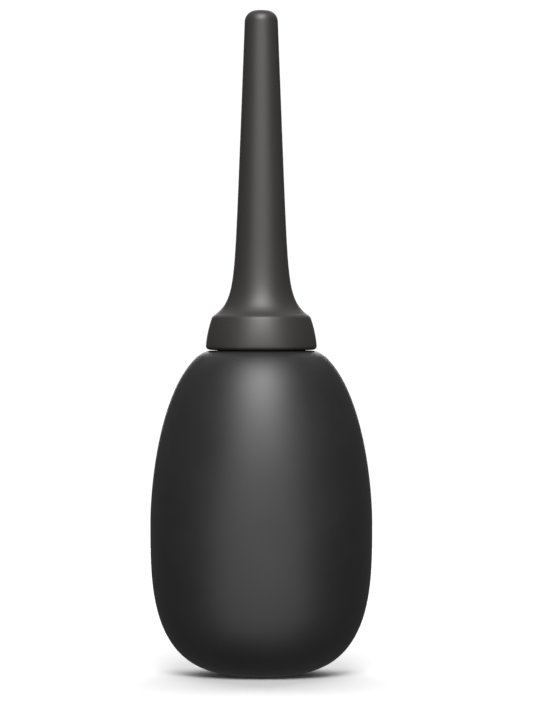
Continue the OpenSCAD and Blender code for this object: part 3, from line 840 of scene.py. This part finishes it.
def threaded_neck(tree, ring_join, material):
    """The neck: stem, barb under the rubber lip, flange, outside thread, valve cone and ball guides."""
    barb_z = land_z - LIP
    flange_top = land_z + FLANGE_T
    thread_low = flange_top + THREAD_FOOT
    thread_top = neck_top - THREAD_STOP
    outline = rounded([
        (PORT_R, stem_z), (NECK_HOLE_R - 1, stem_z, 0.3), (NECK_HOLE_R - 1, barb_z - BARB_T, 0.4),
        (BARB_R - 1, barb_z - BARB_T, 0.3), (BARB_R, barb_z - 1, 0.3), (BARB_R, barb_z),
        (NECK_HOLE_R, barb_z), (NECK_HOLE_R, land_z), (flange_r, land_z), (flange_r, flange_top),
        (CORE_R, flange_top), (CORE_R, thread_low)], edge=0.12)
    outline += stretch((CORE_R, thread_low), (CORE_R, thread_top), THREAD_STEP)
    outline += rounded([(CORE_R, thread_top), (CORE_R, neck_top, 0.3), (bore_r, neck_top, 0.25),
                        (bore_r, CONE_Z + bore_r - PORT_R), (PORT_R, CONE_Z), (PORT_R, stem_z)])[:-1]

    def on_thread(r, z):
        return abs(r - CORE_R) < SAME and thread_low - THREAD_MARGIN < z < thread_top + THREAD_MARGIN

    piece = turned("neck_body", tree, outline, material, steps=144, closed=True, thread=on_thread,
                   Thread_Depth=(THREAD_R - CORE_R) * MM, Thread_Start=NECK_THREAD_Z * MM,
                   Pitch=THREAD_PITCH * MM, Turns=THREAD_TURNS, Lead=THREAD_FADE)
    guide = bar(GUIDE_IN_R, bore_r + BURY, GUIDE_W) + [(GUIDE_IN_R, -GUIDE_W / 2)]
    rib = prism("rib", rounded(guide, edge=0.2)[:-1], CONE_Z + GUIDE_IN_R - PORT_R - BURY, CAGE_Z)
    around(piece, ring_join, rib, count=4, start=45, material=material)
    place(piece, "threaded_neck", "black_plastic", "neck")


def valve_cage(tree, ring_join, material):
    """The spider pressed into the neck: rim, three spokes, and the post that centres the spring."""
    hole_r = bore_r - CAGE_RIM_W
    piece = turned("cage_spider", tree, rounded([
        (hole_r, CAGE_Z), (bore_r, CAGE_Z, 0.25), (bore_r, cage_top, 0.15), (hole_r, cage_top, 0.2),
        (hole_r, CAGE_Z)])[:-1], material, steps=96, closed=True)
    join(piece, turned("post", tree, rounded([
        (0, post_z), (POST_R, post_z, 0.4), (POST_R, cage_top, 0.2), (0, cage_top)]), material, steps=64))
    spoke = prism("spoke", bar(POST_R / 2, hole_r + BURY, CAGE_SPOKE_W), CAGE_Z, cage_top - SPOKE_DROP)
    around(piece, ring_join, spoke, count=3, start=0, material=material)
    place(piece, "outlet_valve_cage", "black_plastic", "neck")


def valve_spring(coil, material):
    """The spring over the ball. It is held at the cage."""
    piece = new_piece("return_spring", bpy.data.meshes.new("return_spring"))
    length = spring_top - spring_z
    apply_tree(piece, coil, Coil_Radius=(spring_r - WIRE_R) * MM, Wire_Radius=WIRE_R * MM, Turns=6.2,
               End_Turns=0.6, Bottom=(spring_z + WIRE_R) * MM, Height=(length - 2 * WIRE_R) * MM,
               Points=520, Sides=14, Material=material)
    tidy_mesh(piece)
    place(piece, "outlet_valve_spring", "spring_steel", "neck")
    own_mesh(piece)


def valve_ball(tree, material):
    """The ball, with the fine belt that the two halves of its mould leave."""
    middle = (ball_low + ball_high) / 2
    outline = []
    for i in range(-BALL_STEPS, BALL_STEPS + 1):
        # the angles crowd at the belt
        angle = 90 * math.sin(math.pi / 2 * i / BALL_STEPS) ** 3
        r = ball_r + BELT_T * math.exp(-(angle / BELT_SPREAD) ** 2)
        outline.append((r * math.cos(math.radians(angle)), middle + r * math.sin(math.radians(angle))))
    piece = turned("valve_ball", tree, outline, material, steps=96)
    place(piece, "outlet_valve_ball", "ball_rubber", "outlet_ball")


def gasket(tree, material):
    """The gasket, punched from sheet: its cut edges are a little hollow."""
    middle = (gasket_z + gasket_top) / 2
    outline = rounded([
        (GASKET_IN_R, gasket_z), (gasket_r, gasket_z, 0.08), (gasket_r - GASKET_HOLLOW, middle, 0.3),
        (gasket_r, gasket_top, 0.08), (GASKET_IN_R, gasket_top, 0.08),
        (GASKET_IN_R + GASKET_HOLLOW, middle, 0.3), (GASKET_IN_R, gasket_z)])[:-1]
    piece = turned("gasket_ring", tree, outline, material, steps=128, closed=True)
    place(piece, "nozzle_gasket", "gasket_rubber", "gasket")


def intake_plug(tree, ring_cut, material):
    """The plug in the foot: two flanges, barrel, filter chamber, vented web, valve seat and cup."""
    web_top = WEB_Z + WEB_T
    outline = rounded([
        (GUIDE_HOLE_R, WEB_Z), (chamber_r, WEB_Z), (chamber_r, plug_z, 0.2), (LOWER_FLANGE_R, plug_z, 0.25),
        (LOWER_FLANGE_R, RECESS, 0.2), (BARREL_R, RECESS), (BARREL_R, BASE), (upper_flange_r, BASE, 0.2),
        (upper_flange_r, BASE + UPPER_FLANGE_T, 0.35), (BARREL_R, BASE + UPPER_FLANGE_T, 0.3),
        (BARREL_R, cup_top, 0.25), (CUP_R, cup_top, 0.25), (CUP_R, web_top), (SEAT_R, web_top),
        (SEAT_R, web_top + SEAT_H, 0.12), (SEAT_R - SEAT_W, web_top + SEAT_H, 0.12),
        (SEAT_R - SEAT_W, web_top), (GUIDE_HOLE_R, web_top), (GUIDE_HOLE_R, WEB_Z)], 0.1)[:-1]
    piece = turned("intake_plug", tree, outline, material, steps=128, closed=True)
    round_hole = arc((VENT_RING_R, 0), VENT_R, start=0, end=345, steps=23)
    vent = prism("vent", round_hole, WEB_Z - 1, web_top + 1)
    around(piece, ring_cut, vent, count=6, start=0, material=material)
    place(piece, "intake_valve_body", "black_plastic", "bulb")


def poppet(tree, material):
    """The mushroom that covers the seat: a lid that thins towards its edge, stem and bead."""
    under = WEB_Z + WEB_T + SEAT_H + SEAT_GAP
    bead_top = bead_z + BEAD_T
    outline = rounded([
        (0, bead_z), (BEAD_R - 0.4, bead_z, 0.3), (BEAD_R, bead_z + 0.4, 0.3), (BEAD_R, bead_top, 0.2),
        (POPPET_STEM_R, bead_top, 0.15), (POPPET_STEM_R, under, 0.3), (poppet_r, under, 0.1),
        (poppet_r, cap_top - 0.7, 0.25), (poppet_r - 0.8, cap_top - 0.3, 0.6), (1.2, cap_top, 0.6),
        (0, cap_top)])
    piece = turned("poppet_mushroom", tree, outline, material, steps=112)
    place(piece, "intake_poppet", "valve_silicone", "intake_poppet")


def felt(tree, material):
    """The filter: a punched felt disc whose faces and edge are uneven with fibres."""
    low, high, edge = filter_z + FELT_INSET, filter_top - FELT_INSET, chamber_r - FELT_INSET
    outline = [(0, low)] + stretch((0, low), (edge, low), FELT_STEP)
    outline += rounded([(edge - 0.15, low), (edge, low, 0.12), (edge, high, 0.12), (edge - 0.15, high)])
    outline += stretch((edge, high), (0, high), FELT_STEP) + [(0, high)]
    piece = turned("felt_disc", tree, outline, material, steps=160)
    normals = [point.normal.copy() for point in piece.data.vertices]
    for point, normal in zip(piece.data.vertices, normals):
        coarse = noise.noise(point.co * per(TUFT))
        fine = noise.noise(point.co * per(FIBRE) + Vector((7, 3, 1)))
        point.co += normal * (coarse + 0.6 * fine) * FUZZ * MM
    place(piece, "intake_filter", "filter_felt", "bulb")


def grille(tree, ring_cut, material):
    """The slotted cap under the felt."""
    piece = turned("grille_cap", tree, rounded([
        (0, grille_z), (grille_r, grille_z, 0.25), (grille_r, grille_top, 0.1), (0, grille_top)]),
        material, steps=128)
    for ring in (1, 2):
        shape = arc_slot(ring * SLOT_STEP + SLOT_W / 2, SLOT_W, angle=90)
        slot = prism("slot", shape, grille_z - 1, grille_top + 1)
        around(piece, ring_cut, slot, count=3, start=15, material=material)
    place(piece, "intake_grille", "black_plastic", "bulb")


# ---- Studio
# Lengths here are in metres. SEEN_HEIGHT is what the frame's long side takes in at the target.

CAMERA_HEIGHT = 0.109
CAMERA_DISTANCE = 1.2
VIEW_TARGET = Vector((0.0015, 0, 0.0921))
SEEN_HEIGHT = 0.2053
LIGHT_TARGET = Vector((0, 0, 0.08))
FLOOR_SIDE = 1.2
LIGHT_TINT = "#fffefe"


def camera():
    """A long lens, a little above the height of the skirt, so that the foot is seen a little from above."""
    data = bpy.data.cameras.new("camera")
    cam = bpy.data.objects.new("camera", data)
    cam.location = (VIEW_TARGET.x, -CAMERA_DISTANCE, CAMERA_HEIGHT)
    sight = VIEW_TARGET - cam.location
    data.lens = data.sensor_width * sight.length / SEEN_HEIGHT
    cam.rotation_euler = sight.to_track_quat("-Z", "Y").to_euler()
    bpy.context.scene.collection.objects.link(cam)
    bpy.context.scene.camera = cam


def softbox(floor, name, width, height, elevation, azimuth, radiance, distance=1,
            floor_light=False):
    """A soft light aimed at the middle of the object, with azimuth 0 at the camera's side. It lights either
    the floor or the object, so that the floor's white and the object's gloss are set apart."""
    data = bpy.data.lights.new(name, "AREA")
    data.shape = "RECTANGLE"
    data.size, data.size_y = width, height
    data.energy = radiance * width * height * math.pi
    data.color = linear(LIGHT_TINT)[:3]
    box = bpy.data.objects.new(name, data)
    tilt, turn = math.radians(elevation), math.radians(azimuth)
    away = Vector((math.sin(turn) * math.cos(tilt), -math.cos(turn) * math.cos(tilt), math.sin(tilt)))
    box.location = LIGHT_TARGET + away * distance
    box.rotation_euler = away.to_track_quat("Z", "Y").to_euler()
    box.visible_camera = False
    linked = bpy.data.collections.new(name)
    linked.objects.link(floor)
    box.light_linking.receiver_collection = linked
    linked.collection_objects[0].light_linking.link_state = "INCLUDE" if floor_light else "EXCLUDE"
    bpy.context.scene.collection.objects.link(box)


def sweep():
    """The pale floor. It takes the shadow, but the object doesn't see it, so that its lower half stays dark,
    and a light may shine up through it. From below it is clear, so that the foot can be looked at."""
    mesh = bpy.data.meshes.new("floor")
    side = FLOOR_SIDE / 2
    corners = [(-side, -side, 0), (side, -side, 0), (side, side, 0), (-side, side, 0)]
    mesh.from_pydata(corners, [], [(0, 1, 2, 3)])
    floor = new_piece("floor", mesh)
    material, tree, shader = plain_material("pale_paper_sweep")
    shader.inputs["Base Color"].default_value = (0.9, 0.9, 0.9, 1)
    shader.inputs["Roughness"].default_value = 0.9
    shader.inputs["Specular IOR Level"].default_value = 0
    under = add(tree, "ShaderNodeNewGeometry").outputs["Backfacing"]
    clear = add(tree, "ShaderNodeMixShader", _0=under, _1=shader, _2=add(tree, "ShaderNodeBsdfTransparent"))
    tree.links.new(clear.outputs[0], tree.nodes["Material Output"].inputs["Surface"])
    mesh.materials.append(material)
    floor.visible_diffuse = False
    floor.visible_glossy = False
    floor.visible_shadow = False
    return floor


def surroundings():
    """White behind the object, and dark for what the object reflects, so that its edges stay dark."""
    world = bpy.data.worlds.new("studio")
    bpy.context.scene.world = world
    world.use_nodes = True
    tree = world.node_tree
    tree.nodes.clear()
    seen = add(tree, "ShaderNodeBackground", Color=(1, 1, 1, 1), Strength=1.05)
    reflected = add(tree, "ShaderNodeBackground", Color=(1, 1, 1, 1), Strength=0.12)
    path = add(tree, "ShaderNodeLightPath")
    mixed = add(tree, "ShaderNodeMixShader", _0=path.outputs["Is Camera Ray"], _1=reflected, _2=seen)
    add(tree, "ShaderNodeOutputWorld", Surface=mixed)


camera()
surroundings()
floor = sweep()
softbox(floor, "floor_back", 4, 4, 35, 180, 2.95, distance=2.5, floor_light=True)
softbox(floor, "floor_front", 0.5, 0.5, 42, 0, 11.5, floor_light=True)
softbox(floor, "key_softbox", 0.36, 0.5, 53, 0, 11.5)
softbox(floor, "key_halo", 0.95, 1.1, 50, 0, 4.3)
softbox(floor, "front_fill", 2.2, 1.6, -14, 0, 1.15)
softbox(floor, "back_key", 0.5, 0.7, 18, 180, 2.8)
softbox(floor, "back_left", 0.6, 0.6, 50, -150, 0.5)
softbox(floor, "back_right", 0.6, 0.6, 50, 150, 0.5)
bpy.context.scene.view_settings.view_transform = "Standard"

turning = turning_tree()
ring_cut = ring_tree("DIFFERENCE")
ring_join = ring_tree("UNION")
nylon = moulded_nylon()
rubber_bulb(turning, moulded_rubber())
intake_plug(turning, ring_cut, nylon)
poppet(turning, cast_silicone())
felt(turning, needled_felt())
grille(turning, ring_cut, nylon)
threaded_neck(turning, ring_join, nylon)
valve_ball(turning, ground_nitrile())
valve_spring(coil_tree(), spring_wire())
valve_cage(turning, ring_join, nylon)
gasket(turning, sheet_rubber())
nozzle(turning, moulded_abs())
